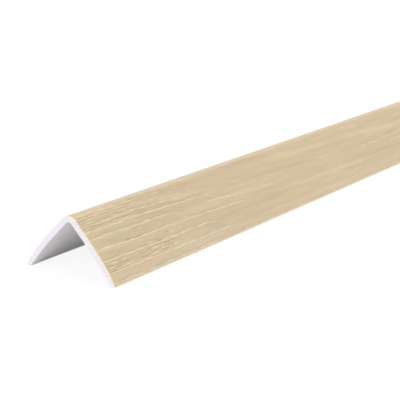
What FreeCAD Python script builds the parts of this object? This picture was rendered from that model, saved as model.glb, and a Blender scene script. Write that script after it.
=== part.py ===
import FreeCAD, Part
import enum
import math
import os

import Sketcher

# Corner guard moulding: a length of extruded PVC angle that covers an outside wall
# corner, with a printed wood grain film laminated over its two outer faces.
#
# Frame: the stock lies with its length along X, its rounded nose up (+Z) and the feet of
# both legs on the floor at Z = 0. The origin is on the floor, under the nose, at the
# middle of the length. Sizes are in millimetres and angles in degrees.
#
# One leg, from the nose down: a flat stretch, a long arc that toes the leg in towards the
# wall it covers, and a tighter arc on the outer side that thins the leg to a lip.

DRIVING_SIZES = {
    "stock_length": (1000.0, "length that the stock is sold in"),
    "leg_width": (25.0, "each leg, from the film on the far leg to the foot"),
    "corner_angle": (90.0, "angle between the legs at the nose"),
    "wall": (1.6, "thickness of the PVC, without the film"),
    "film_thickness": (0.25, "printed film with its adhesive"),
    "corner_radius": (3.2, "outside of the nose, over the film"),
    "inner_radius": (1.35, "inside of the nose, which keeps the wall even round it"),
    "flat_width": (5.85, "flat stretch of each inner face, next to the inside corner"),
    "toe_radius": (112.0, "long arc of the inner face, which toes the leg in"),
    "lip_radius": (16.0, "arc of the outer face that thins the leg to its lip"),
    "lip_width": (1.1, "foot of the PVC, measured across the floor"),
    "film_trim": (0.12, "height of the film's lower edge above the floor"),
}

# Sizes that follow from the driving ones, as the sketches state them.
HALF_ANGLE = "Sizes.corner_angle * 1 deg / 2"
SLOPE = f"{HALF_ANGLE} - 90 deg"
BARE_NOSE_RADIUS = "Sizes.corner_radius - Sizes.film_thickness"
BARE_TOE_RADIUS = "Sizes.toe_radius + Sizes.wall"
FILM_TOE_RADIUS = "Sizes.toe_radius + Sizes.wall + Sizes.film_thickness"
FLAT_LENGTH = (
    "Sizes.flat_width + (Sizes.inner_radius + Sizes.wall + Sizes.film_thickness"
    f" - Sizes.corner_radius) / tan({HALF_ANGLE})"
)
FOOT_FROM_FAR_LEG = "Sizes.leg_width - Sizes.film_thickness"


class Spot(enum.IntEnum):
    """Points of a sketch element, by the numbers that a constraint takes for them."""

    START = 1
    END = 2
    CENTRE = 3


class Axis(enum.IntEnum):
    """The two axes of a sketch, which a constraint takes as elements."""

    FLOOR = -1
    MIDDLE = -2


START, END, CENTRE = Spot
FLOOR, MIDDLE = Axis

doc = FreeCAD.newDocument("corner_guard")


def make_sheet():
    """One row for each driving size: its name, its value and what it measures."""
    cells = doc.addObject("Spreadsheet::Sheet", "Sizes")
    for row, (name, (value, meaning)) in enumerate(DRIVING_SIZES.items(), start=1):
        cells.set(f"A{row}", name)
        cells.set(f"B{row}", str(value))
        cells.set(f"C{row}", meaning)
        cells.setAlias(f"B{row}", name)
    doc.recompute()
    return cells


sheet = make_sheet()


def size(name):
    return float(sheet.get(name))


def origin_plane(body, role):
    return next(plane for plane in body.Origin.OriginFeatures if plane.Role == role)


class HalfSection:
    """The section of one leg and its half of the nose, across the length.

    The sketch is solved from its constraints, which the sheet drives. The places worked
    out here are only where the solver starts, so that every arc bends the right way.
    """

    def __init__(self, body, name):
        self.sketch = body.newObject("Sketcher::SketchObject", name)
        self.sketch.AttachmentSupport = [(origin_plane(body, "YZ_Plane"), "")]
        self.sketch.MapMode = "FlatFace"
        self.half = math.radians(size("corner_angle") / 2)
        self.level = math.pi / 2 - self.half
        self.place_inner_face()

    def place_inner_face(self):
        """Where the inner face has its corner and its bend, from the widths along it."""
        to_bend = size("flat_width") + size("inner_radius") / math.tan(self.half)
        reach = size("leg_width") - size("film_thickness") - size("wall")
        toed = reach - size("lip_width") * math.sin(self.half) - to_bend
        self.foot_turn = toed / size("toe_radius")
        drop = math.sin(self.level) - math.sin(self.level - self.foot_turn)
        height = to_bend * math.cos(self.half) + size("toe_radius") * drop
        down = FreeCAD.Vector(math.sin(self.half), -math.cos(self.half), 0)
        self.inner_corner = FreeCAD.Vector(0, height, 0)
        self.toe_centre = self.inner_corner + down * to_bend - self.towards(0) * size("toe_radius")

    def towards(self, turn):
        """Outward direction of the leg's face once it has toed in by a turn."""
        return FreeCAD.Vector(math.cos(self.level - turn), math.sin(self.level - turn), 0)

    def lip_turn(self):
        """How far the outer face has toed in where it starts to thin to the lip."""
        lip_thickness = size("lip_width") * math.cos(self.half - self.foot_turn)
        thinning = max(size("wall") - lip_thickness, 0)
        curvature = 1 / size("lip_radius") - 1 / (size("toe_radius") + size("wall"))
        return self.foot_turn - math.sqrt(2 * thinning / curvature) / size("toe_radius")

    def add_line(self, start, end):
        return self.sketch.addGeometry(Part.LineSegment(start, end), False)

    def add_arc(self, centre, radius, low, high):
        """An arc that runs from the angle low up to the angle high, in radians."""
        circle = Part.Circle(centre, FreeCAD.Vector(0, 0, 1), radius)
        return self.sketch.addGeometry(Part.ArcOfCircle(circle, low, high), False)

    def point(self, element, position):
        return self.sketch.getPoint(element, position)

    def tie(self, kind, *elements):
        self.sketch.addConstraint(Sketcher.Constraint(kind, *elements))

    def drive(self, name, expression, kind, *elements):
        """A size of the sketch under its own name, bound to cells of the sheet."""
        value = FreeCAD.Units.Quantity(self.sketch.evalExpression(expression))
        index = self.sketch.addConstraint(Sketcher.Constraint(kind, *elements, value))
        self.sketch.renameConstraint(index, name)
        self.sketch.setExpression(f"Constraints.{name}", expression)

    def add_face(self, offset):
        """Nose, flat, toe and lip of an outer face at an offset from the bare PVC."""
        depth = size("wall") + offset
        nose_radius = size("corner_radius") - size("film_thickness") + offset
        toe_radius = size("toe_radius") + depth
        lip_radius = size("lip_radius") + offset
        lip_turn = self.lip_turn()
        nose_height = (depth - nose_radius) / math.sin(self.half)
        nose_centre = self.inner_corner + FreeCAD.Vector(0, nose_height, 0)
        lip_centre = self.toe_centre + self.towards(lip_turn) * (toe_radius - lip_radius)
        trim_angle = math.asin((size("film_trim") - lip_centre.y) / lip_radius)
        nose = self.add_arc(nose_centre, nose_radius, self.level, math.pi / 2)
        flat = self.add_line(
            nose_centre + self.towards(0) * nose_radius,
            self.toe_centre + self.towards(0) * toe_radius,
        )
        toe = self.add_arc(self.toe_centre, toe_radius, self.level - lip_turn, self.level)
        lip = self.add_arc(lip_centre, lip_radius, trim_angle, self.level - lip_turn)
        self.tie("PointOnObject", nose, CENTRE, MIDDLE)
        self.tie("PointOnObject", nose, END, MIDDLE)
        self.tie("Tangent", nose, START, flat, START)
        self.tie("Tangent", flat, END, toe, END)
        self.tie("Tangent", toe, START, lip, END)
        return nose, flat, toe, lip

    def add_bare_leg(self):
        """The outer face of the PVC, its foot on the floor, and the toed inner face."""
        nose, flat, toe, lip = self.add_face(0)
        lip_centre = self.point(lip, CENTRE)
        floor_angle = math.asin(-lip_centre.y / size("lip_radius"))
        trim_angle = math.asin((size("film_trim") - lip_centre.y) / size("lip_radius"))
        lip_end = self.add_arc(lip_centre, size("lip_radius"), floor_angle, trim_angle)
        inner_toe = self.add_arc(
            self.toe_centre, size("toe_radius"), self.level - self.foot_turn, self.level
        )
        foot = self.add_line(self.point(lip_end, START), self.point(inner_toe, START))
        bend = self.add_line(self.toe_centre, self.point(flat, END))
        far_foot = self.sketch.addGeometry(Part.Point(-self.point(lip_end, START)), True)
        self.sketch.toggleConstruction(bend)

        self.tie("Coincident", lip, START, lip_end, END)
        self.tie("Coincident", lip, CENTRE, lip_end, CENTRE)
        self.tie("Coincident", toe, CENTRE, inner_toe, CENTRE)
        self.tie("Coincident", toe, CENTRE, bend, START)
        self.tie("Coincident", flat, END, bend, END)
        self.tie("PointOnObject", inner_toe, END, bend)
        self.tie("Coincident", lip_end, START, foot, START)
        self.tie("Coincident", inner_toe, START, foot, END)
        self.tie("PointOnObject", foot, START, FLOOR)
        self.tie("PointOnObject", foot, END, FLOOR)
        self.tie("Symmetric", foot, START, far_foot, START, MIDDLE)

        self.drive("slope", SLOPE, "Angle", flat)
        self.drive("nose_radius", BARE_NOSE_RADIUS, "Radius", nose)
        self.drive("outer_toe_radius", BARE_TOE_RADIUS, "Radius", toe)
        self.drive("inner_toe_radius", "Sizes.toe_radius", "Radius", inner_toe)
        self.drive("lip_radius", "Sizes.lip_radius", "Radius", lip)
        self.drive("flat_length", FLAT_LENGTH, "Distance", flat)
        self.drive("lip_width", "Sizes.lip_width", "DistanceX", foot, END, foot, START)
        self.drive("film_trim", "Sizes.film_trim", "DistanceY", foot, START, lip, START)
        self.drive("foot_from_far_leg", FOOT_FROM_FAR_LEG, "Distance", far_foot, START, flat)
        return (nose, flat, toe, lip), (lip_end, foot, inner_toe)


def draw_angle(body):
    """The bare PVC angle, closed by its flat inner face and the inside of the nose."""
    section = HalfSection(body, "AngleSection")
    (nose, _, _, _), (_, _, inner_toe) = section.add_bare_leg()
    centre = section.inner_corner - FreeCAD.Vector(0, size("inner_radius") / math.sin(section.half), 0)
    inner_nose = section.add_arc(centre, size("inner_radius"), section.level, math.pi / 2)
    inner_flat = section.add_line(section.point(inner_nose, START), section.point(inner_toe, END))
    middle = section.add_line(section.point(inner_nose, END), section.point(nose, END))
    section.tie("PointOnObject", inner_nose, CENTRE, MIDDLE)
    section.tie("PointOnObject", inner_nose, END, MIDDLE)
    section.tie("Tangent", inner_nose, START, inner_flat, START)
    section.tie("Tangent", inner_flat, END, inner_toe, END)
    section.tie("Coincident", middle, START, inner_nose, END)
    section.tie("Coincident", middle, END, nose, END)
    section.drive("inner_nose_radius", "Sizes.inner_radius", "Radius", inner_nose)
    return section.sketch


def draw_film(body):
    """The film: the outer face of the PVC and a second face over it, trimmed at the lip."""
    section = HalfSection(body, "FilmSection")
    (nose, flat, toe, lip), bare_foot = section.add_bare_leg()
    for element in bare_foot:
        section.sketch.toggleConstruction(element)
    over_nose, over_flat, over_toe, over_lip = section.add_face(size("film_thickness"))
    edge = section.add_line(section.point(lip, START), section.point(over_lip, START))
    middle = section.add_line(section.point(nose, END), section.point(over_nose, END))
    section.tie("Parallel", over_flat, flat)
    section.tie("Coincident", over_toe, CENTRE, toe, CENTRE)
    section.tie("Coincident", over_lip, CENTRE, lip, CENTRE)
    section.tie("Coincident", edge, START, lip, START)
    section.tie("Coincident", edge, END, over_lip, START)
    section.tie("Horizontal", edge)
    section.tie("Coincident", middle, START, nose, END)
    section.tie("Coincident", middle, END, over_nose, END)
    section.drive("over_nose_radius", "Sizes.corner_radius", "Radius", over_nose)
    section.drive("over_toe_radius", FILM_TOE_RADIUS, "Radius", over_toe)
    return section.sketch


def make_stock(label, draw_section):
    """A piece of the stock: its half section pushed to full length, then mirrored."""
    body = doc.addObject("PartDesign::Body", label)
    body.Label = label
    body.Placement = FreeCAD.Placement()
    sketch = draw_section(body)
    doc.recompute()
    half = body.newObject("PartDesign::Pad", f"{label}_half")
    half.Profile = sketch
    half.SideType = "Symmetric"
    half.setExpression("Length", "Sizes.stock_length")
    doc.recompute()
    whole = body.newObject("PartDesign::Mirrored", f"{label}_whole")
    whole.Originals = [half]
    whole.MirrorPlane = (origin_plane(body, "XZ_Plane"), [""])
    whole.Refine = True
    body.Tip = whole
    doc.recompute()
    return body


def check_model(pieces):
    """Stop before anything is written if a feature failed or a piece isn't one solid."""
    for item in doc.Objects:
        if {"Invalid", "Error"} & set(item.State):
            raise RuntimeError(f"{item.Name} is {item.State}")
    for sketch in doc.findObjects("Sketcher::SketchObject"):
        if not sketch.FullyConstrained:
            raise RuntimeError(f"{sketch.Name} has a size left free")
    for piece in pieces:
        shape = piece.Shape
        if shape.isNull() or not shape.isValid() or len(shape.Solids) != 1:
            raise RuntimeError(f"{piece.Label} isn't one valid solid")


pieces = [
    make_stock("pvc_angle", draw_angle),
    make_stock("wood_grain_film", draw_film),
]
check_model(pieces)

os.makedirs("parts", exist_ok=True)
for piece in pieces:
    piece.Shape.exportStep(f"parts/{piece.Label}.step")
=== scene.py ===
import math
from typing import NamedTuple

import bpy
import numpy as np
from mathutils import Matrix, Vector


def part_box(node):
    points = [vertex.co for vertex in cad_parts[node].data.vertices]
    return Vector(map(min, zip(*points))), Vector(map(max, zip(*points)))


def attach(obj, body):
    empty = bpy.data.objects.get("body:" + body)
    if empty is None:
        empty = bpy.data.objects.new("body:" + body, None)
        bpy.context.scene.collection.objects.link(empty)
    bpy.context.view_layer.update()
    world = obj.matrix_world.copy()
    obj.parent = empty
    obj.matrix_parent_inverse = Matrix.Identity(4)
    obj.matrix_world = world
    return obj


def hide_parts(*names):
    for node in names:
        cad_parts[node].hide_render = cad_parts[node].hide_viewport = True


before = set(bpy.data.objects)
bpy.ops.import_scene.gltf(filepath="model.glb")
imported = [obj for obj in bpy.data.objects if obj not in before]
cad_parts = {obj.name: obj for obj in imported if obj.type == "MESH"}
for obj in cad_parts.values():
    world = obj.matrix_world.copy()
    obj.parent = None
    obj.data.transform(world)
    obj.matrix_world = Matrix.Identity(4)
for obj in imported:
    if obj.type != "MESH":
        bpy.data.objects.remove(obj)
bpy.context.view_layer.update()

# A length of PVC corner guard with a pale oak film on its outer faces. It lies with its
# rounded nose up and its two feet on the floor. Lengths are in metres.
#
# Some words are used all through. A "run" is how far a point lies from the top of the nose,
# measured round the section: negative towards -Y, positive towards +Y. A "station" is a place
# along the length, in X. The grain is "lively" where its grooves are deep and their painted
# shade is dark, in zones along the length, and "calm" between them.

MM = 0.001

# Section of the stock, as it is made
CORNER_HALF_ANGLE = math.radians(45)
NOSE_RADIUS = 3.2 * MM
INNER_NOSE_RADIUS = 1.35 * MM
FILM_THICKNESS = 0.25 * MM
PVC_WALL = 1.6 * MM
INNER_FLAT = 5.85 * MM
INNER_TOE_RADIUS = 112 * MM
PVC_LIP_RADIUS = 16 * MM

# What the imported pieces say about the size
FILM_LOW, FILM_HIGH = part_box("wood_grain_film")
PVC_LOW, PVC_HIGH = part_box("pvc_angle")
NEAR_END = PVC_LOW.x
FAR_END = PVC_HIGH.x
STOCK_LENGTH = FAR_END - NEAR_END
FLOOR_LEVEL = PVC_LOW.z

# How finely the pieces are divided
FILM_ROWS = 432
FILM_ROWS_PER_BACK_ROW = 12
PVC_ROWS = 20
STEPS_ROUND_SECTION = (9, 14, 8)
SHARP_EDGE = math.radians(35)

# Arrises of the sawn ends
ARRIS_LENGTH = 0.15 * MM
FILM_ARRIS = 0.06 * MM
PVC_ARRIS = 0.10 * MM

# Grain embossed into the film: wide main grooves, with fine ones between them
GRAIN_SEED = 1090
GROOVE_DEPTH = 0.05 * MM
GROOVE_SPACING = (0.72 * MM, 1.05 * MM)
MAIN_GROOVE_PITCH = (1.1 * MM, 3.5 * MM)
PLAIN_AT_FOOT = 0.9 * MM
MAIN_HALF_WIDTH = 0.31 * MM
FINE_HALF_WIDTH = 0.20 * MM
LEAST_COLUMN_GAP = 0.03 * MM
NOSE_COLUMN_STEP = 0.25 * MM

# Lines of a main groove, in half widths uphill of its middle
UPPER_EDGE = 1.3
WALL = 0.6
BOTTOM = -0.15
LOWER_EDGE = -1.0
WALL_DEPTH = 0.8

# Zones of lively grain, which lean back along the length towards the feet
CALM_STRENGTH = 0.68
FIRST_ZONE_REACH = 64 * MM
FIRST_CALM_STRETCH = 50 * MM
ZONE_COUNT = 5
ZONE_PITCH = (170 * MM, 280 * MM)
ZONE_REACH = (60 * MM, 110 * MM)
ZONE_LEAN = 1.5
ZONE_EASE = 1.7

# Long oval patches of close grooves
NEAR_PATCH = (NEAR_END + 5 * MM, -3.8 * MM, 36 * MM, 2.6 * MM)
PATCH_COUNT = 30
PATCH_REACH = (15 * MM, 40 * MM)
PATCH_WIDTH = (1.2 * MM, 2.6 * MM)
PATCH_EASE = 1.6

# How the grooves stray from straight: a slow drift, ripples that all share, and small steps.
# A ripple has a height, a length along the stock, and a run over which it turns once.
DRIFT = 6.0 * MM
DRIFT_LENGTH = 360 * MM
DRIFT_START = 15 * MM
RIPPLES = (
    (0.20 * MM, 71 * MM, 30 * MM),
    (0.09 * MM, 33 * MM, -11 * MM),
    (0.07 * MM, 17 * MM, 7 * MM),
)
SHORT_STEP = 0.07 * MM
LONG_STEP = 0.32 * MM
LONG_STEP_STATIONS = 6
GREATEST_STEP = 0.18 * MM

# How the strength of a groove changes along it
STROKE_TAPER = 4 * MM
UNEVENNESS = 0.4
UNEVEN_STATIONS = 2
FADE_MIDDLE = 0.6
FADE_RANGE = 2.0
FADE_STATIONS = 9

# How pale a main groove is, in cream and painted highlight, where the grain is calm and
# where it is lively
PALE_BOTTOM = (0.7, 1.0)
PALE_EDGE = (0.7, 0.2)

# Shares of a groove's pale edge and of the painted shade on its wall that its other lines have
UPPER_EDGE_PALE = 0.4
UPPER_EDGE_PAINTED_SHADE = 0.3
WALL_PALE = 0.5
FINE_EDGE_PALE = 0.6


class Strokes(NamedTuple):
    """How a groove comes and goes: the least and the most of each stroke, gap and strength.

    The first stroke starts before the near end, by the lead at most.
    """

    length: tuple
    gap: tuple
    strength: tuple
    lead: float


CLOSE_STROKES = Strokes((12 * MM, 34 * MM), (1 * MM, 4 * MM), (0.7, 1.0), 12 * MM)
MAIN_STROKES = Strokes((25 * MM, 80 * MM), (3 * MM, 12 * MM), (0.75, 1.0), 12 * MM)
FINE_STROKES = Strokes((6 * MM, 22 * MM), (8 * MM, 50 * MM), (0.35, 0.75), 60 * MM)
# Dashes of painted shade along the grooves' walls, where the grain is lively
PAINTED_SHADE_DASHES = Strokes((5 * MM, 18 * MM), (2 * MM, 9 * MM), (0.5, 1.0), 14 * MM)


# The section


def direction(angle):
    return np.array([math.cos(angle), math.sin(angle)])


class FaceLine:
    """One face of a leg, as a fine line of points (across, up) from the nose to the foot."""

    STEPS = 240

    def __init__(self, arcs):
        places, outs = [], []
        for centre, radius, start, end in arcs:
            angles = np.linspace(start, end, self.STEPS)
            out = np.stack([np.cos(angles), np.sin(angles)], axis=1)
            places.append(centre + radius * out)
            outs.append(out)
        self.place = np.vstack(places)
        self.out = np.vstack(outs)
        steps = np.hypot(*np.diff(self.place, axis=0).T)
        self.run = np.concatenate([[0.0], np.cumsum(steps)])
        self.bends = [0.0] + [self.run[part * self.STEPS - 1] for part in range(1, len(arcs) + 1)]
        self.foot = self.run[-1]

    def at(self, run):
        """Places and outward directions at signed runs, on both legs."""
        side = np.where(run < 0, -1.0, 1.0)
        away = abs(run)
        across, up = (np.interp(away, self.run, part) for part in self.place.T)
        out_across, out_up = (np.interp(away, self.run, part) for part in self.out.T)
        place = np.stack([side * across, up], axis=-1)
        out = np.stack([side * out_across, out_up], axis=-1)
        return place, out / np.linalg.norm(out, axis=-1, keepdims=True)

    def columns(self):
        """Signed runs that divide the face, closest on the nose and the lips."""
        one_leg = [0.0]
        for start, end, steps in zip(self.bends, self.bends[1:], STEPS_ROUND_SECTION):
            one_leg.extend(np.linspace(start, end, steps + 1)[1:])
        one_leg = np.array(one_leg)
        return np.concatenate([-one_leg[:0:-1], one_leg])


class Section:
    """Centres of the arcs that the faces of a leg are made of."""

    def __init__(self):
        self.level = math.pi / 2 - CORNER_HALF_ANGLE
        self.wall = PVC_WALL + FILM_THICKNESS
        self.nose_centre = np.array([0.0, FILM_HIGH.z - NOSE_RADIUS])
        overhang = (INNER_NOSE_RADIUS + self.wall - NOSE_RADIUS) / math.tan(CORNER_HALF_ANGLE)
        down_the_leg = direction(self.level - math.pi / 2)
        flat_end = (self.nose_centre + NOSE_RADIUS * direction(self.level)
                    + (INNER_FLAT + overhang) * down_the_leg)
        self.toe_radius = INNER_TOE_RADIUS + self.wall
        self.toe_centre = flat_end - self.toe_radius * direction(self.level)
        self.lip_radius = PVC_LIP_RADIUS + FILM_THICKNESS
        self.lip_centre = self.find_lip_centre(np.array([FILM_HIGH.y, FILM_LOW.z]))
        across, up = self.lip_centre - self.toe_centre
        self.lip_start = math.atan2(up, across)

    def find_lip_centre(self, film_foot):
        """Centre of the arc that leaves the toe arc smoothly and ends at the film's foot."""
        reach = self.toe_radius - self.lip_radius
        to_foot = film_foot - self.toe_centre
        span = np.hypot(*to_foot)
        along = (span**2 + reach**2 - self.lip_radius**2) / (2 * span)
        aside = math.sqrt(reach**2 - along**2)
        unit = to_foot / span
        return self.toe_centre + along * unit + aside * np.array([-unit[1], unit[0]])

    def outer_face(self, depth, foot_height):
        """The face that lies a depth below the film's outer face, down to its foot."""
        lip_radius = self.lip_radius - depth
        foot_angle = math.asin((foot_height - self.lip_centre[1]) / lip_radius)
        return FaceLine([
            (self.nose_centre, NOSE_RADIUS - depth, math.pi / 2, self.level),
            (self.toe_centre, self.toe_radius - depth, self.level, self.lip_start),
            (self.lip_centre, lip_radius, self.lip_start, foot_angle),
        ])

    def inner_face(self):
        """The face inside the corner, whose directions point into the PVC."""
        drop = (self.wall - NOSE_RADIUS + INNER_NOSE_RADIUS) / math.sin(CORNER_HALF_ANGLE)
        nose_centre = self.nose_centre - np.array([0.0, drop])
        foot_angle = math.asin((FLOOR_LEVEL - self.toe_centre[1]) / INNER_TOE_RADIUS)
        return FaceLine([
            (nose_centre, INNER_NOSE_RADIUS, math.pi / 2, self.level),
            (self.toe_centre, INNER_TOE_RADIUS, self.level, self.lip_start),
            (self.toe_centre, INNER_TOE_RADIUS, self.lip_start, foot_angle),
        ])


# The grain


def between(ends, share):
    """A value that lies between two others by a share."""
    return ends[0] + (ends[1] - ends[0]) * share


class Column(NamedTuple):
    """One line of the film's mesh along the length, with a value at every station."""

    run: np.ndarray
    depth: np.ndarray
    # How pale the line is, in cream and painted highlight, and how much painted shade it has
    cream_and_highlight: np.ndarray
    painted_shade: np.ndarray


class Grain:
    """Grooves along the film: where each one lies and how deep it is at every station.

    The columns of the film's mesh follow the grooves. A main groove has four: its upper edge,
    its steep wall, its bottom and its lower edge. A fine one has no column for its wall.
    """

    def __init__(self, stations, foot):
        self.rng = np.random.default_rng(GRAIN_SEED)
        self.stations = stations
        self.nothing = np.zeros(len(stations))
        self.foot = foot
        self.grooves = self.plan_grooves()
        self.patches = self.plan_patches()
        self.zones = self.plan_zones()

    def plan_grooves(self):
        """Runs of the grooves, and whether each is one of the main ones."""
        grooves = []
        at = next_main = -self.foot + PLAIN_AT_FOOT
        while at < self.foot - PLAIN_AT_FOOT:
            main = at >= next_main
            if main:
                next_main = at + self.rng.uniform(*MAIN_GROOVE_PITCH)
            grooves.append((at, main))
            at += self.rng.uniform(*GROOVE_SPACING)
        return grooves

    def plan_patches(self):
        """Long oval places where the grooves lie close: station, run, reach and width."""
        patches = [NEAR_PATCH]
        for _ in range(PATCH_COUNT):
            patches.append((
                self.rng.uniform(NEAR_END, FAR_END),
                self.rng.uniform(-self.foot, self.foot),
                self.rng.uniform(*PATCH_REACH),
                self.rng.uniform(*PATCH_WIDTH),
            ))
        return patches

    def plan_zones(self):
        """Places along the length where the embossing is lively, and how far each reaches."""
        zones = [(NEAR_END, FIRST_ZONE_REACH)]
        station = NEAR_END + FIRST_CALM_STRETCH
        for _ in range(ZONE_COUNT):
            station += self.rng.uniform(*ZONE_PITCH)
            zones.append((station, self.rng.uniform(*ZONE_REACH)))
        return zones

    def lively(self, run):
        """How lively the embossing is at each station, from 0 where it is calm to 1."""
        amount = self.nothing
        for station, reach in self.zones:
            off = abs(self.stations - station - ZONE_LEAN * abs(run)) / reach
            amount = np.maximum(amount, np.clip(ZONE_EASE * (1 - off), 0, 1))
        return amount

    def sway(self, run):
        """How far the grain drifts sideways along the length, least at the feet."""
        x = self.stations - NEAR_END
        turn = 2 * math.pi
        drift = -DRIFT * (1 - np.cos(turn * (x + DRIFT_START) / DRIFT_LENGTH)) / 2
        ripple = sum(
            height * np.sin(turn * (x / length + run / across)) for height, length, across in RIPPLES
        )
        return (drift + ripple) * (1 - (run / self.foot) ** 2)

    def wander(self, steps):
        """A value between -1 and 1 that changes smoothly over a number of stations."""
        loose = self.rng.uniform(-1, 1, len(self.stations) + steps - 1)
        return np.convolve(loose, np.ones(steps) / steps, "valid")

    def zigzag(self):
        """The small uneven steps of one groove."""
        steps = SHORT_STEP * self.wander(1) + LONG_STEP * self.wander(LONG_STEP_STATIONS)
        return np.clip(steps, -GREATEST_STEP, GREATEST_STEP)

    def strokes(self, kind):
        """Strength along one groove that comes and goes in tapering strokes."""
        amount = self.nothing
        start = NEAR_END - self.rng.uniform(0, kind.lead)
        while start < FAR_END:
            length = self.rng.uniform(*kind.length)
            ends = np.minimum(self.stations - start, start + length - self.stations)
            level = self.rng.uniform(*kind.strength)
            amount = np.maximum(amount, level * np.clip(ends / STROKE_TAPER, 0, 1))
            start += length + self.rng.uniform(*kind.gap)
        return amount

    def closeness(self, run):
        """How far each station lies inside a patch of close grooves."""
        inside = self.nothing
        for station, middle, reach, width in self.patches:
            off = ((self.stations - station) / reach) ** 2 + ((run - middle) / width) ** 2
            inside = np.maximum(inside, np.clip(PATCH_EASE * (1 - off), 0, 1))
        return inside

    def strength(self, run, main, lively):
        """How strongly one groove is embossed at each station."""
        close = self.strokes(CLOSE_STROKES)
        alone = self.strokes(MAIN_STROKES if main else FINE_STROKES)
        uneven = 1 - UNEVENNESS * abs(self.wander(UNEVEN_STATIONS))
        fade = np.clip(FADE_MIDDLE + FADE_RANGE * self.wander(FADE_STATIONS), 0, 1)
        level = between((CALM_STRENGTH * fade, 1), lively)
        return np.maximum(close * self.closeness(run), alone) * level * uneven

    def across_groove(self, run, main):
        """The columns of one groove, from its upper edge to its lower edge."""
        middle = run + self.sway(run) + self.zigzag()
        lively = self.lively(run)
        strength = self.strength(run, main, lively)
        uphill = math.copysign(MAIN_HALF_WIDTH if main else FINE_HALF_WIDTH, -run)
        if main:
            # Painted shade on the steep upper wall stands in for its shadow; the pale bottom and lower
            # edge are cream with painted highlight on the lit lower wall
            painted_shade = strength * self.strokes(PAINTED_SHADE_DASHES) * lively
            cream_and_highlight = strength * between(PALE_BOTTOM, lively)
            edge = strength * between(PALE_EDGE, lively)
            return [
                Column(
                    middle + UPPER_EDGE * uphill, self.nothing,
                    UPPER_EDGE_PALE * edge, UPPER_EDGE_PAINTED_SHADE * painted_shade,
                ),
                Column(middle + WALL * uphill, WALL_DEPTH * strength, WALL_PALE * edge, painted_shade),
                Column(middle + BOTTOM * uphill, strength, cream_and_highlight, self.nothing),
                Column(middle + LOWER_EDGE * uphill, self.nothing, edge, self.nothing),
            ]
        return [
            Column(middle + uphill, self.nothing, self.nothing, self.nothing),
            Column(middle, strength, self.nothing, strength * lively),
            Column(middle - uphill, self.nothing, FINE_EDGE_PALE * strength, self.nothing),
        ]

    def plain_column(self, run):
        return Column(self.nothing + run, self.nothing, self.nothing, self.nothing)

    def lay_columns(self):
        """For each station and column: its run, depth, cream and painted highlight, painted shade and
        liveliness.
        """
        columns = [self.plain_column(-self.foot)]
        last = -self.foot
        for run, main in self.grooves:
            for bend in self.columns_between(last, run):
                columns.append(self.plain_column(bend + self.sway(bend)))
            groove = self.across_groove(run, main)
            columns.extend(groove[::-1] if run < 0 else groove)
            last = run
        columns.append(self.plain_column(self.foot))
        run, depth, cream_and_highlight, painted_shade = [np.stack(part, axis=1) for part in zip(*columns)]
        lively = np.stack([self.lively(column) for column in run.T], axis=1)
        return self.keep_apart(run), depth, cream_and_highlight, painted_shade, lively

    def keep_apart(self, run):
        """Columns that stay in their order, a little apart, between the two feet."""
        count = run.shape[1]
        for column in range(1, count):
            run[:, column] = np.maximum(run[:, column], run[:, column - 1] + LEAST_COLUMN_GAP)
        run[:, -1] = self.foot
        for column in range(count - 2, -1, -1):
            run[:, column] = np.minimum(run[:, column], run[:, column + 1] - LEAST_COLUMN_GAP)
        run[:, 0] = -self.foot
        return run

    def columns_between(self, start, end):
        """Extra columns between two grooves, where the nose bends."""
        if min(abs(start), abs(end)) > NOSE_RADIUS:
            return []
        first, last = start + UPPER_EDGE * MAIN_HALF_WIDTH, end - UPPER_EDGE * MAIN_HALF_WIDTH
        return np.linspace(first, last, max(2, round((last - first) / NOSE_COLUMN_STEP)))


# The meshes

FACE, BACK, FOOT, END = range(4)


class Shell:
    """The closed skin of one piece: an outer grid, an inner grid, two feet and two ends."""

    def __init__(self):
        self.points = np.zeros((0, 3))
        self.unrolled = np.zeros((0, 2))
        self.faces = []
        self.sheets = []

    def add_grid(self, stations, run, place):
        """Adds a row of points for each station, and gives their numbers."""
        first = len(self.points)
        along = np.broadcast_to(stations[:, None], run.shape)
        self.points = np.vstack([self.points, np.dstack([along, place]).reshape(-1, 3)])
        self.unrolled = np.vstack([self.unrolled, np.dstack([along, run]).reshape(-1, 2)])
        return first + np.arange(run.size).reshape(run.shape)

    def add_faces(self, faces, sheet):
        self.faces.extend(faces)
        self.sheets.extend([sheet] * len(faces))

    def cover_grid(self, grid, sheet, outward):
        """Four-sided faces between the points of a grid."""
        corners = [grid[:-1, :-1], grid[1:, :-1], grid[1:, 1:], grid[:-1, 1:]]
        quads = np.stack(corners, axis=-1).reshape(-1, 4)
        self.add_faces((quads if outward else quads[:, ::-1]).tolist(), sheet)

    def close_feet(self, outer, inner, rows):
        """Joins both long edges, given the outer row that each inner row lies at."""
        for column, forward in ((0, False), (-1, True)):
            for row, (start, end) in enumerate(zip(rows, rows[1:])):
                self.bridge(outer[start:end + 1, column], inner[row:row + 2, column], forward, FOOT)

    def close_ends(self, outer, inner, outer_run, inner_run):
        """Joins both sawn ends, where one inner column may span several outer columns."""
        for row, forward in ((0, True), (-1, False)):
            share = outer_run[row] / outer_run[row, -1]
            edges = np.searchsorted(share, inner_run / inner_run[-1]).clip(0, len(share) - 1)
            edges[0] = 0
            for column, (start, end) in enumerate(zip(edges, edges[1:])):
                self.bridge(outer[row, start:end + 1], inner[row, column:column + 2], forward, END)

    def bridge(self, outer, inner, forward, sheet):
        """Triangles between a line of outer points and the two inner points beside it."""
        first, last = inner
        middle = len(outer) // 2
        triangles = [(start, end, first) for start, end in zip(outer[:middle], outer[1:middle + 1])]
        triangles.append((outer[middle], last, first))
        triangles.extend((start, end, last) for start, end in zip(outer[middle:], outer[middle + 1:]))
        for triangle in triangles:
            corners = [int(corner) for corner in triangle]
            self.add_faces([corners if forward else corners[::-1]], sheet)


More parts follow.
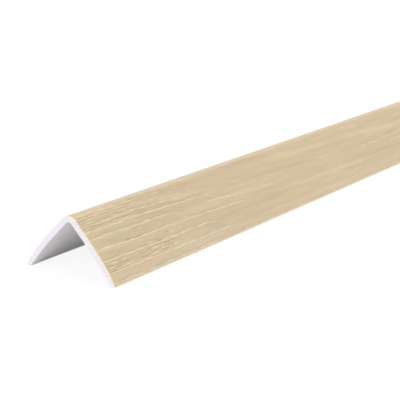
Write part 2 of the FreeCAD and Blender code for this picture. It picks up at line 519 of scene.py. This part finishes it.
class BakeSheet:
    """Lays the faces of a piece out in a unit square.

    The main face lies in strips, one above another. The face behind it, the feet and the sawn
    ends have the room above the strips.
    """

    STRIPS = 4
    MARGIN = 0.01
    STRIP_GAP = 0.004
    BEHIND_SCALE = 0.95
    FEET_ABOVE = 0.055
    FOOT_PITCH = 0.006
    ENDS_ABOVE = 0.085
    FILM_END_PITCH = 0.03
    FILM_END_HEIGHT = 0.02
    PVC_END_SCALE = 6.0
    PVC_END_PITCH = 0.4

    def __init__(self, shell, foot, main_sheet):
        self.shell = shell
        self.foot = foot
        self.main_sheet = main_sheet
        self.strip_length = STOCK_LENGTH / self.STRIPS
        self.scale = (1 - 2 * self.MARGIN) / self.strip_length
        self.strip_pitch = 2 * foot * self.scale + self.STRIP_GAP
        self.above_strips = self.MARGIN + self.STRIPS * self.strip_pitch

    def corner_places(self, corner_points, corner_faces, inner_points):
        """Where each face corner goes in the square."""
        station, run = self.shell.unrolled[corner_points].T
        place = self.shell.points[corner_points]
        sheet = np.array(self.shell.sheets)[corner_faces]
        middle = (np.bincount(corner_faces, station) / np.bincount(corner_faces))[corner_faces]
        along = station - NEAR_END
        across = run + self.foot
        strip = np.floor((middle - NEAR_END) / self.strip_length)
        far = middle > (NEAR_END + FAR_END) / 2
        right = place[:, 1] > 0
        inside = inner_points[corner_points]
        behind_sheet = BACK if self.main_sheet == FACE else FACE
        ways = {
            self.main_sheet: (
                (along - strip * self.strip_length) * self.scale,
                across * self.scale + strip * self.strip_pitch + self.MARGIN - self.above_strips,
            ),
            behind_sheet: (along * self.BEHIND_SCALE, across * self.BEHIND_SCALE),
            FOOT: (
                along * self.BEHIND_SCALE,
                self.FEET_ABOVE + self.FOOT_PITCH * (2 * right + inside),
            ),
            END: self.end_places(place, across, far, inside),
        }
        u, v = np.zeros(len(station)), np.zeros(len(station))
        for which, (along_sheet, up_sheet) in ways.items():
            here = sheet == which
            u[here] = self.MARGIN + along_sheet[here]
            v[here] = self.above_strips + up_sheet[here]
        return np.stack([u, v], axis=1)

    def end_places(self, place, across, far, inside):
        """Where the sawn ends go: the film's as ribbons, the PVC's as it is."""
        if self.main_sheet == FACE:
            up = self.ENDS_ABOVE + self.FILM_END_PITCH * far + self.FILM_END_HEIGHT * inside
            return across * self.scale, up
        along = self.PVC_END_PITCH * far + (place[:, 1] + PVC_HIGH.y) * self.PVC_END_SCALE
        return along, self.ENDS_ABOVE + place[:, 2] * self.PVC_END_SCALE


def make_piece(name, shell, materials, sheet_material, foot, main_sheet, inner_points):
    """A piece from its shell, with its materials, its unrolled map and its bake sheet."""
    mesh = bpy.data.meshes.new(name)
    mesh.from_pydata(shell.points.tolist(), [], shell.faces)
    corner_points = np.zeros(len(mesh.loops), np.int32)
    mesh.loops.foreach_get("vertex_index", corner_points)
    corner_counts = np.zeros(len(mesh.polygons), np.int32)
    mesh.polygons.foreach_get("loop_total", corner_counts)
    corner_faces = np.repeat(np.arange(len(mesh.polygons)), corner_counts)
    for material in materials:
        mesh.materials.append(material)
    slots = np.array([sheet_material[sheet] for sheet in shell.sheets], np.int32)
    mesh.polygons.foreach_set("material_index", slots)
    unrolled = mesh.uv_layers.new(name="unrolled")
    unrolled.uv.foreach_set("vector", shell.unrolled[corner_points].astype(np.float32).ravel())
    bake = mesh.uv_layers.new(name="OFBake")
    places = BakeSheet(shell, foot, main_sheet).corner_places(corner_points, corner_faces, inner_points)
    bake.uv.foreach_set("vector", places.astype(np.float32).ravel())
    mesh.shade_smooth()
    mesh.set_sharp_from_angle(angle=SHARP_EDGE)
    piece = bpy.data.objects.new(name, mesh)
    bpy.context.scene.collection.objects.link(piece)
    return piece


def add_values(piece, name, values):
    """A value at every point of a piece, for its material to read."""
    layer = piece.data.attributes.new(name, "FLOAT", "POINT")
    layer.data.foreach_set("value", values.astype(np.float32))


def stations_with_arrises(rows):
    """Even stations, with one more just inside each sawn end."""
    even = np.linspace(NEAR_END, FAR_END, rows + 1)
    return np.sort(np.append(even, [NEAR_END + ARRIS_LENGTH, FAR_END - ARRIS_LENGTH]))


def make_film(section):
    """The printed film, its face embossed with the grain and its arrises broken."""
    face = section.outer_face(0, FILM_LOW.z)
    back = section.outer_face(FILM_THICKNESS, FILM_LOW.z)
    stations = stations_with_arrises(FILM_ROWS)
    run, depth, cream_and_highlight, painted_shade, lively = Grain(stations, face.foot).lay_columns()
    place, out = face.at(run)
    sunk = depth * GROOVE_DEPTH
    sunk[[0, -1]] = FILM_ARRIS
    place = place - sunk[..., None] * out
    shell = Shell()
    flow_run = np.broadcast_to(run.mean(axis=0), run.shape)
    outer = shell.add_grid(stations, flow_run, place)
    between_ends = np.arange(FILM_ROWS_PER_BACK_ROW, FILM_ROWS, FILM_ROWS_PER_BACK_ROW) + 1
    back_rows = [0, *between_ends, len(stations) - 1]
    back_stations = stations[back_rows]
    back_run = np.broadcast_to(back.columns(), (len(back_stations), len(back.columns())))
    inner = shell.add_grid(back_stations, back_run, back.at(back_run)[0])
    shell.cover_grid(outer, FACE, outward=True)
    shell.cover_grid(inner, BACK, outward=False)
    shell.close_feet(outer, inner, back_rows)
    shell.close_ends(outer, inner, run, back.columns())
    inner_points = np.arange(len(shell.points)) >= outer.size
    piece = make_piece(
        "oak_film", shell, [OakPrint().make(), make_film_edge()],
        {FACE: 0, BACK: 1, FOOT: 1, END: 1}, face.foot, FACE, inner_points,
    )
    none_behind = np.zeros(inner.size)
    # Values the print reads: cream with painted highlight, painted shade on the walls, and how lively
    # the grain is
    for name, values in (("groove_cream_and_highlight", cream_and_highlight), ("painted_wall_shade", painted_shade), ("lively", lively)):
        add_values(piece, name, np.concatenate([values.ravel(), none_behind]))
    return piece


def make_pvc(section):
    """The PVC angle: its face under the film, its inside, its feet and its sawn ends."""
    face = section.outer_face(FILM_THICKNESS, FLOOR_LEVEL)
    inside = section.inner_face()
    stations = stations_with_arrises(PVC_ROWS)
    shell = Shell()
    face_run = np.broadcast_to(face.columns(), (len(stations), len(face.columns())))
    inside_run = np.broadcast_to(inside.columns(), (len(stations), len(inside.columns())))
    inside_place, into_wall = inside.at(inside_run)
    arris = np.zeros(len(stations))
    arris[[0, -1]] = PVC_ARRIS
    clear_of_foot = np.clip((inside.foot - abs(inside_run)) / PVC_ARRIS, 0, 1)
    inside_place = inside_place + (arris[:, None] * clear_of_foot)[..., None] * into_wall
    outer = shell.add_grid(stations, face_run, face.at(face_run)[0])
    inner = shell.add_grid(stations, inside_run, inside_place)
    shell.cover_grid(outer, FACE, outward=True)
    shell.cover_grid(inner, BACK, outward=False)
    shell.close_feet(outer, inner, range(len(stations)))
    shell.close_ends(outer, inner, face_run, inside.columns())
    inner_points = np.arange(len(shell.points)) >= outer.size
    return make_piece(
        "pvc_body", shell, [make_pvc_skin(), make_pvc_cut()],
        {FACE: 0, BACK: 0, FOOT: 0, END: 1}, inside.foot, BACK, inner_points,
    )


# Node building


def srgb(red, green, blue):
    """A colour written as it shows, turned into the linear values that nodes take."""
    def linear(value):
        value /= 255
        return value / 12.92 if value <= 0.04045 else ((value + 0.055) / 1.055) ** 2.4
    return (linear(red), linear(green), linear(blue), 1.0)


class Nodes:
    """Short calls for adding and joining the nodes of one tree."""

    # A Mix node's share, first, second and result, by number: its kinds give them the same names
    MIX_SOCKETS = {"FLOAT": (0, 2, 3, 0), "RGBA": (0, 6, 7, 2)}

    def __init__(self, tree):
        self.tree = tree

    def add(self, kind, inputs=None, **settings):
        node = self.tree.nodes.new(kind)
        for name, value in settings.items():
            setattr(node, name, value)
        for name, value in (inputs or {}).items():
            self.feed(value, node.inputs[name])
        return node

    def feed(self, value, socket):
        if isinstance(value, bpy.types.NodeSocket):
            self.tree.links.new(value, socket)
        else:
            socket.default_value = value

    def math(self, operation, first, second=0.0):
        node = self.add("ShaderNodeMath", operation=operation)
        self.feed(first, node.inputs[0])
        self.feed(second, node.inputs[1])
        return node.outputs[0]

    def mix(self, share, first, second, kind="RGBA"):
        """What lies between two colours or numbers by a share."""
        node = self.add("ShaderNodeMix", data_type=kind)
        *sockets, result = self.MIX_SOCKETS[kind]
        for value, socket in zip((share, first, second), sockets):
            self.feed(value, node.inputs[socket])
        return node.outputs[result]

    def ramp(self, value, low, high, to_low=0.0, to_high=1.0):
        """A value that eases from one level to another."""
        node = self.add("ShaderNodeMapRange", interpolation_type="SMOOTHSTEP")
        levels = {"Value": value, "From Min": low, "From Max": high, "To Min": to_low, "To Max": to_high}
        for name, level in levels.items():
            self.feed(level, node.inputs[name])
        return node.outputs[0]

    def bump(self, height, strength, distance):
        """The normal that a small relief gives."""
        node = self.add("ShaderNodeBump", {"Strength": strength, "Distance": distance, "Height": height})
        return node.outputs[0]


def new_group(name, inputs, outputs):
    """A shader node group, with the calls for filling it and its two end nodes."""
    group = bpy.data.node_groups.new(name, "ShaderNodeTree")
    for label, kind, value in inputs:
        socket = group.interface.new_socket(label, in_out="INPUT", socket_type=kind)
        if value is not None:
            socket.default_value = value
    for label, kind in outputs:
        group.interface.new_socket(label, in_out="OUTPUT", socket_type=kind)
    nodes = Nodes(group)
    return group, nodes, nodes.add("NodeGroupInput"), nodes.add("NodeGroupOutput")


def make_streaks():
    """Noise drawn out along the length, with a pitch along it and a pitch across it."""
    group, nodes, given, result = new_group(
        "Lengthwise streaks",
        [
            ("Place", "NodeSocketVector", None),
            ("Pitch along", "NodeSocketFloat", 30 * MM),
            ("Pitch across", "NodeSocketFloat", 1 * MM),
            ("Detail", "NodeSocketFloat", 2.0),
            ("Offset", "NodeSocketFloat", 0.0),
        ],
        [("Streak", "NodeSocketFloat")],
    )
    apart = nodes.add("ShaderNodeSeparateXYZ", {"Vector": given.outputs["Place"]})
    along = nodes.math("DIVIDE", apart.outputs["X"], given.outputs["Pitch along"])
    across = nodes.math("DIVIDE", apart.outputs["Y"], given.outputs["Pitch across"])
    place = nodes.add("ShaderNodeCombineXYZ", {"X": along, "Y": across, "Z": given.outputs["Offset"]})
    noise = nodes.add(
        "ShaderNodeTexNoise",
        {"Vector": place.outputs[0], "Scale": 1.0, "Detail": given.outputs["Detail"]},
    )
    nodes.feed(noise.outputs[0], result.inputs["Streak"])
    return group


# The cream band beside each sawn end, its inner border a little ragged
BAND_WIDTH = 0.42 * MM
BAND_NOISE_PER_METRE = 2200.0
BAND_NOISE_RANGE = (0.3, 0.7)
BAND_RAGGED = (0.6, 1.3)
BAND_FADE = (0.75, 1.15)


def make_sawn_band():
    """A mask of the narrow band beside each sawn end."""
    group, nodes, given, result = new_group(
        "Sawn band",
        [
            ("Place", "NodeSocketVector", None),
            ("Half length", "NodeSocketFloat", STOCK_LENGTH / 2),
            ("Width", "NodeSocketFloat", BAND_WIDTH),
        ],
        [("Band", "NodeSocketFloat")],
    )
    place = given.outputs["Place"]
    station = nodes.add("ShaderNodeSeparateXYZ", {"Vector": place}).outputs["X"]
    from_middle = nodes.math("ABSOLUTE", station)
    from_end = nodes.math("SUBTRACT", given.outputs["Half length"], from_middle)
    noise = nodes.add("ShaderNodeTexNoise", {"Vector": place, "Scale": BAND_NOISE_PER_METRE})
    ragged = nodes.ramp(noise.outputs[0], *BAND_NOISE_RANGE, *BAND_RAGGED)
    border = nodes.math("MULTIPLY", given.outputs["Width"], ragged)
    share = nodes.math("DIVIDE", from_end, border)
    nodes.feed(nodes.ramp(share, *BAND_FADE, 1.0, 0.0), result.inputs["Band"])
    return group


STREAK_GROUP = make_streaks()
SAWN_BAND_GROUP = make_sawn_band()


class Streaks(NamedTuple):
    """A pattern of streaks: its pitch along and across the stock, its detail and its offset."""

    along: float
    across: float
    detail: float
    offset: float


def lay_streaks(nodes, place, kind):
    """A pattern of streaks in a material."""
    inputs = {
        "Place": place,
        "Pitch along": kind.along,
        "Pitch across": kind.across,
        "Detail": kind.detail,
        "Offset": kind.offset,
    }
    return nodes.add("ShaderNodeGroup", inputs, node_tree=STREAK_GROUP).outputs["Streak"]


def new_material(name):
    """A material with its nodes, its shader and the place on the unrolled surface."""
    material = bpy.data.materials.new(name)
    material.use_nodes = True
    nodes = Nodes(material.node_tree)
    shader = material.node_tree.nodes["Principled BSDF"]
    place = nodes.add("ShaderNodeUVMap", uv_map="unrolled").outputs[0]
    return material, nodes, shader, place


# Colours, as they show in plain light

OAK_WARM = srgb(209, 185, 153)
OAK_COOL = srgb(199, 183, 150)
OAK_COOL_CALM = srgb(204, 185, 153)
OAK_STRAW = srgb(205, 185, 147)
OAK_SHADE = srgb(184, 161, 129)
# Sapwood tone of the print, and also the colour of the painted highlight over the nose and lips
OAK_SAP_AND_HIGHLIGHT = srgb(226, 207, 176)
# Colour of the printed pores, and also of the painted shade on the grooves' walls
PORE_AND_SHADE_DARK = srgb(152, 128, 97)
# Cream in the grooves, which also stands in for painted highlight on their lower walls
GROOVE_CREAM_AND_HIGHLIGHT = srgb(234, 217, 184)
# Cream of the film beside the sawn ends, and also the colour of the painted highlight along the feet
FILM_CREAM_AND_HIGHLIGHT = srgb(242, 234, 210)
FILM_EDGE = srgb(245, 241, 229)
FILM_EDGE_SHADE = srgb(242, 236, 220)
PVC_WHITE = srgb(239, 235, 236)
PVC_SHADE = srgb(231, 227, 229)
PVC_SAWN = srgb(247, 243, 252)
PVC_SAWN_SHADE = srgb(239, 235, 246)


# Patterns of streaks in the print and the PVC

WARM_PATCHES = Streaks(22 * MM, 4.0 * MM, 1.0, 3.0)
STRAW_PATCHES = Streaks(12 * MM, 3.0 * MM, 1.0, 19.0)
LONG_BANDS = Streaks(44 * MM, 2.4 * MM, 0.8, 11.0)
PALE_DASHES = Streaks(14 * MM, 1.5 * MM, 0.5, 63.0)
FIBRES = Streaks(9 * MM, 0.3 * MM, 2.0, 12.0)
PORES = Streaks(2.8 * MM, 0.22 * MM, 0.5, 31.0)
WALL_BREAKS = Streaks(4.5 * MM, 0.7 * MM, 1.5, 52.0)
GROOVE_KNOBS = Streaks(3.5 * MM, 0.5 * MM, 2.5, 44.0)
FILM_EDGE_TONES = Streaks(4 * MM, 0.8 * MM, 2.0, 2.0)
DIE_LINES = Streaks(400 * MM, 0.7 * MM, 3.0, 5.0)
SAW_MARKS = Streaks(6 * MM, 0.25 * MM, 2.0, 9.0)


class Layer(NamedTuple):
    """Marks printed over the oak.

    They fade in over a range of their streaks, and have one strength where the grain is calm
    and one where it is lively.
    """

    streaks: Streaks
    fade: tuple
    strength: tuple
    colour: tuple


PORE_FADE = (0.66, 0.74)
PRINTED_LAYERS = (
    Layer(STRAW_PATCHES, (0.42, 0.62), (0.8, 0.8), OAK_STRAW),
    Layer(LONG_BANDS, (0.52, 0.76), (0.4, 0.36), OAK_SHADE),
    Layer(LONG_BANDS, (0.48, 0.24), (0.4, 0.36), OAK_SAP_AND_HIGHLIGHT),
    Layer(PALE_DASHES, (0.58, 0.74), (0.3, 0.0), OAK_SAP_AND_HIGHLIGHT),
    Layer(FIBRES, (0.52, 0.72), (0.02, 0.16), OAK_SHADE),
    Layer(FIBRES, (0.48, 0.28), (0.02, 0.16), OAK_SAP_AND_HIGHLIGHT),
    Layer(PORES, PORE_FADE, (0.02, 0.3), PORE_AND_SHADE_DARK),
)

# The oak below them, from cool to warm, a little warmer where the grain is calm
WARM_FADE = (0.36, 0.64)
WARMER_BY_ZONE = (0.05, -0.03)

# How the grooves show: painted shade on the walls, broken into dashes, and pale lines of cream
# and painted highlight with ragged edges
BREAK_FADE = (0.38, 0.58)
BREAK_SHIFT = (-0.4, 0.15)
KNOB_FADE = (0.3, 0.7)
KNOB_SHIFT = (-0.28, 0.28)
KNOBS_BY_ZONE = (0.3, 1.0)
GROOVE_FADE = (0.1, 0.75)
DARKEST_PAINTED_SHADE = 0.62
PALEST_GROOVE = 0.84

# Painted highlights: paler print over the nose and round the lips, where the light from above
# falls, and along the feet, for the highlight on their edge. Each has the height where it starts,
# the height from which it is full, its strength and its colour
PAINTED_HIGHLIGHT_BORDERS = (
    (FILM_HIGH.z - 0.45 * MM, FILM_HIGH.z - 0.05 * MM, 0.38, OAK_SAP_AND_HIGHLIGHT),
    (FILM_LOW.z + 5.5 * MM, FILM_LOW.z + 2 * MM, 0.22, OAK_SAP_AND_HIGHLIGHT),
    (FILM_LOW.z + 0.5 * MM, FILM_LOW.z + 0.15 * MM, 0.6, FILM_CREAM_AND_HIGHLIGHT),
)
BAND_STRENGTH = 0.9

# Finish of the surfaces: roughness, and the strength and height of the relief
OAK_ROUGHNESS = (0.44, 0.56)
FIBRE_SHARE_OF_RELIEF = 0.6
OAK_RELIEF = (0.3, 0.03 * MM)
FILM_EDGE_ROUGHNESS = 0.5
PVC_ROUGHNESS = (0.34, 0.46)
PVC_RELIEF = (0.3, 0.03 * MM)
SAWN_ROUGHNESS = 0.6
SAWN_RELIEF = (0.35, 0.04 * MM)

# Ranges of a streak pattern over which a tone or a roughness changes
WIDE_FADE = (0.3, 0.7)
NARROW_FADE = (0.35, 0.65)


class OakPrint:
    """Pale oak print: soft figure, short dark pores, and cream in the embossed grooves."""

    def __init__(self):
        self.material, self.nodes, self.shader, self.place = new_material("oak_print")
        self.lively = self.value_of("lively")
        self.patterns = {}

    def value_of(self, name):
        return self.nodes.add("ShaderNodeAttribute", attribute_name=name).outputs["Fac"]

    def pattern(self, kind):
        """The streaks of one kind, laid once and then used again."""
        if kind not in self.patterns:
            self.patterns[kind] = lay_streaks(self.nodes, self.place, kind)
        return self.patterns[kind]

    def by_zone(self, calm, lively):
        """A value that depends on how lively the grain is."""
        return self.nodes.ramp(self.lively, 0.0, 1.0, calm, lively)

    def lay_over(self, colour, mask, share, top):
        """A colour with another laid over it where a mask is, by a share of its strength."""
        return self.nodes.mix(self.nodes.math("MULTIPLY", mask, share), colour, top)

    def base(self):
        """Warm and cool patches of oak."""
        nodes = self.nodes
        warmth = nodes.math("ADD", self.pattern(WARM_PATCHES), self.by_zone(*WARMER_BY_ZONE))
        cool = nodes.mix(self.lively, OAK_COOL_CALM, OAK_COOL)
        return nodes.mix(nodes.ramp(warmth, *WARM_FADE), cool, OAK_WARM)

    def with_layers(self, colour):
        """Straw, bands, dashes, fibres and pores over the oak."""
        for layer in PRINTED_LAYERS:
            mask = self.nodes.ramp(self.pattern(layer.streaks), *layer.fade)
            colour = self.lay_over(colour, mask, self.by_zone(*layer.strength), layer.colour)
        return colour

    def with_grooves(self, colour):
        """Painted shade on the walls, and pale lines of cream and painted highlight, as the mesh's
        embossing places them.
        """
        nodes = self.nodes
        broken = nodes.ramp(self.pattern(WALL_BREAKS), *BREAK_FADE, *BREAK_SHIFT)
        knobs = nodes.ramp(self.pattern(GROOVE_KNOBS), *KNOB_FADE, *KNOB_SHIFT)
        ragged = nodes.math("MULTIPLY", knobs, self.by_zone(*KNOBS_BY_ZONE))
        wall = nodes.math("ADD", self.value_of("painted_wall_shade"), broken)
        groove = nodes.math("ADD", self.value_of("groove_cream_and_highlight"), ragged)
        # Painted shade on the grooves' walls, and cream with painted highlight beside them
        painted_shade = nodes.ramp(wall, *GROOVE_FADE, 0.0, DARKEST_PAINTED_SHADE)
        cream_and_highlight = nodes.ramp(groove, *GROOVE_FADE, 0.0, PALEST_GROOVE)
        return nodes.mix(cream_and_highlight, nodes.mix(painted_shade, colour, PORE_AND_SHADE_DARK), GROOVE_CREAM_AND_HIGHLIGHT)

    def with_highlights_and_band(self, colour):
        """Painted highlights by height, and cream beside the sawn ends."""
        nodes = self.nodes
        where = nodes.add("ShaderNodeTexCoord").outputs["Object"]
        height = nodes.add("ShaderNodeSeparateXYZ", {"Vector": where}).outputs["Z"]
        # Painted highlights: the print is made paler by height over the nose, round the lips and along
        # the feet
        for start, full, strength, highlight_colour in PAINTED_HIGHLIGHT_BORDERS:
            mask = nodes.ramp(height, start, full, 0.0, strength)
            colour = nodes.mix(mask, colour, highlight_colour)
        band = nodes.add("ShaderNodeGroup", {"Place": self.place}, node_tree=SAWN_BAND_GROUP)
        return self.lay_over(colour, band.outputs["Band"], BAND_STRENGTH, FILM_CREAM_AND_HIGHLIGHT)

    def make(self):
        nodes = self.nodes
        fibres = self.pattern(FIBRES)
        fibre_relief = nodes.math("MULTIPLY", fibres, FIBRE_SHARE_OF_RELIEF)
        relief = nodes.math("SUBTRACT", fibre_relief, nodes.ramp(self.pattern(PORES), *PORE_FADE))
        colour = self.with_highlights_and_band(self.with_grooves(self.with_layers(self.base())))
        nodes.feed(colour, self.shader.inputs["Base Color"])
        nodes.feed(nodes.ramp(fibres, *WIDE_FADE, *OAK_ROUGHNESS), self.shader.inputs["Roughness"])
        nodes.feed(nodes.bump(relief, *OAK_RELIEF), self.shader.inputs["Normal"])
        return self.material


def make_film_edge():
    """The film's sawn edge, its foot and its back, cream between the print and the PVC."""
    material, nodes, shader, place = new_material("film_edge")
    tone = nodes.ramp(lay_streaks(nodes, place, FILM_EDGE_TONES), *WIDE_FADE)
    nodes.feed(nodes.mix(tone, FILM_EDGE_SHADE, FILM_EDGE), shader.inputs["Base Color"])
    shader.inputs["Roughness"].default_value = FILM_EDGE_ROUGHNESS
    return material


def make_pvc_skin():
    """Extruded white PVC: a satin skin with faint lines from the die along it."""
    material, nodes, shader, place = new_material("pvc_skin")
    lines = lay_streaks(nodes, place, DIE_LINES)
    tone = nodes.ramp(lines, *NARROW_FADE)
    nodes.feed(nodes.mix(tone, PVC_SHADE, PVC_WHITE), shader.inputs["Base Color"])
    nodes.feed(nodes.ramp(lines, *WIDE_FADE, *PVC_ROUGHNESS), shader.inputs["Roughness"])
    nodes.feed(nodes.bump(lines, *PVC_RELIEF), shader.inputs["Normal"])
    return material


def make_pvc_cut():
    """The sawn end of the PVC: matt, with fine saw marks across the section."""
    material, nodes, shader, _ = new_material("pvc_cut")
    where = nodes.add("ShaderNodeTexCoord").outputs["Object"]
    apart = nodes.add("ShaderNodeSeparateXYZ", {"Vector": where})
    level = nodes.add("ShaderNodeCombineXYZ", {"X": apart.outputs["Y"], "Y": apart.outputs["Z"]})
    marks = lay_streaks(nodes, level.outputs[0], SAW_MARKS)
    tone = nodes.ramp(marks, *NARROW_FADE)
    nodes.feed(nodes.mix(tone, PVC_SAWN_SHADE, PVC_SAWN), shader.inputs["Base Color"])
    shader.inputs["Roughness"].default_value = SAWN_ROUGHNESS
    nodes.feed(nodes.bump(marks, *SAWN_RELIEF), shader.inputs["Normal"])
    return material


# The studio

WHITE = (1.0, 1.0, 1.0, 1.0)
FLOOR_REACH = 12.0
FLOOR_PAINT = (0.82, 0.82, 0.82, 1.0)
FLOOR_GLOW = 0.9
PLAIN_WHITE = 1.0
SKY_AT_HORIZON = 0.10
SKY_OVERHEAD = 0.85

# Distant lamps: the way each shines, its strength, and the angle that it fills
LAMPS = {
    "side_lamp": ((0.0, 0.85, -0.45), 0.95, math.radians(35)),
    "end_lamp": ((0.8, -0.2, -0.45), 1.15, math.radians(35)),
    "top_lamp": ((0.1, 0.05, -1.0), 0.3, math.radians(60)),
}

# The camera, placed from the near end of the stock
CAMERA_BACK = 231.42 * MM
CAMERA_ASIDE = 210.37 * MM
CAMERA_HEIGHT = 113.77 * MM
CAMERA_YAW = math.radians(35.522)
CAMERA_DIP = math.radians(16.274)
CAMERA_ROLL = math.radians(0.711)
CAMERA_SENSOR = 36
CAMERA_LENS = 104.38


def seen_plainly(nodes):
    """1 where the camera or a gloss sees a surface, and 0 where it only gives light."""
    path = nodes.add("ShaderNodeLightPath")
    return nodes.math("MAXIMUM", path.outputs["Is Camera Ray"], path.outputs["Is Glossy Ray"])


def make_floor():
    """A wide pale floor that shows white and keeps the object's shadow."""
    mesh = bpy.data.meshes.new("floor")
    signs = [(-1, -1), (1, -1), (1, 1), (-1, 1)]
    corners = [(FLOOR_REACH * along, FLOOR_REACH * across, FLOOR_LEVEL) for along, across in signs]
    mesh.from_pydata(corners, [], [(0, 1, 2, 3)])
    floor = bpy.data.objects.new("floor", mesh)
    bpy.context.scene.collection.objects.link(floor)
    material = bpy.data.materials.new("floor_paint")
    material.use_nodes = True
    nodes = Nodes(material.node_tree)
    seen = seen_plainly(nodes)
    paint = nodes.add("ShaderNodeBsdfDiffuse", {"Color": nodes.mix(seen, FLOOR_PAINT, WHITE)})
    white = nodes.add("ShaderNodeEmission", {"Color": WHITE, "Strength": PLAIN_WHITE})
    blend = nodes.add("ShaderNodeMixShader")
    nodes.feed(nodes.math("MULTIPLY", seen, FLOOR_GLOW), blend.inputs[0])
    nodes.feed(paint.outputs[0], blend.inputs[1])
    nodes.feed(white.outputs[0], blend.inputs[2])
    nodes.feed(blend.outputs[0], material.node_tree.nodes["Material Output"].inputs["Surface"])
    mesh.materials.append(material)


def make_sky():
    """Soft light that is strongest overhead, behind a plain white backdrop."""
    world = bpy.data.worlds.new("studio")
    bpy.context.scene.world = world
    world.use_nodes = True
    nodes = Nodes(world.node_tree)
    background = world.node_tree.nodes["Background"]
    towards = nodes.add("ShaderNodeTexCoord").outputs["Generated"]
    up = nodes.add("ShaderNodeSeparateXYZ", {"Vector": towards}).outputs["Z"]
    soft = nodes.ramp(up, 0.0, 1.0, SKY_AT_HORIZON, SKY_OVERHEAD)
    background.inputs["Color"].default_value = WHITE
    strength = nodes.mix(seen_plainly(nodes), soft, PLAIN_WHITE, kind="FLOAT")
    nodes.feed(strength, background.inputs["Strength"])


def make_lamps():
    for name, (shines, strength, softness) in LAMPS.items():
        lamp = bpy.data.lights.new(name, "SUN")
        lamp.energy = strength
        lamp.angle = softness
        holder = bpy.data.objects.new(name, lamp)
        holder.rotation_euler = Vector(shines).to_track_quat("-Z", "Y").to_euler()
        bpy.context.scene.collection.objects.link(holder)


def make_camera():
    """The camera that sees the stock as the photograph does."""
    data = bpy.data.cameras.new("camera")
    data.lens = CAMERA_LENS
    data.sensor_width = CAMERA_SENSOR
    camera = bpy.data.objects.new("camera", data)
    forward = Vector((
        math.cos(CAMERA_YAW) * math.cos(CAMERA_DIP),
        math.sin(CAMERA_YAW) * math.cos(CAMERA_DIP),
        -math.sin(CAMERA_DIP),
    ))
    level = Vector((math.sin(CAMERA_YAW), -math.cos(CAMERA_YAW), 0))
    upright = level.cross(forward)
    right = math.cos(CAMERA_ROLL) * level + math.sin(CAMERA_ROLL) * upright
    turn = Matrix((right, right.cross(forward), -forward)).transposed().to_4x4()
    stand = Matrix.Translation((NEAR_END - CAMERA_BACK, -CAMERA_ASIDE, CAMERA_HEIGHT))
    camera.matrix_world = stand @ turn
    bpy.context.scene.collection.objects.link(camera)
    bpy.context.scene.camera = camera


section = Section()

film = make_film(section)
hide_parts("wood_grain_film")
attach(film, "root")

pvc = make_pvc(section)
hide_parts("pvc_angle")
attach(pvc, "root")

make_floor()
make_sky()
make_lamps()
make_camera()
bpy.context.scene.view_settings.view_transform = "Standard"
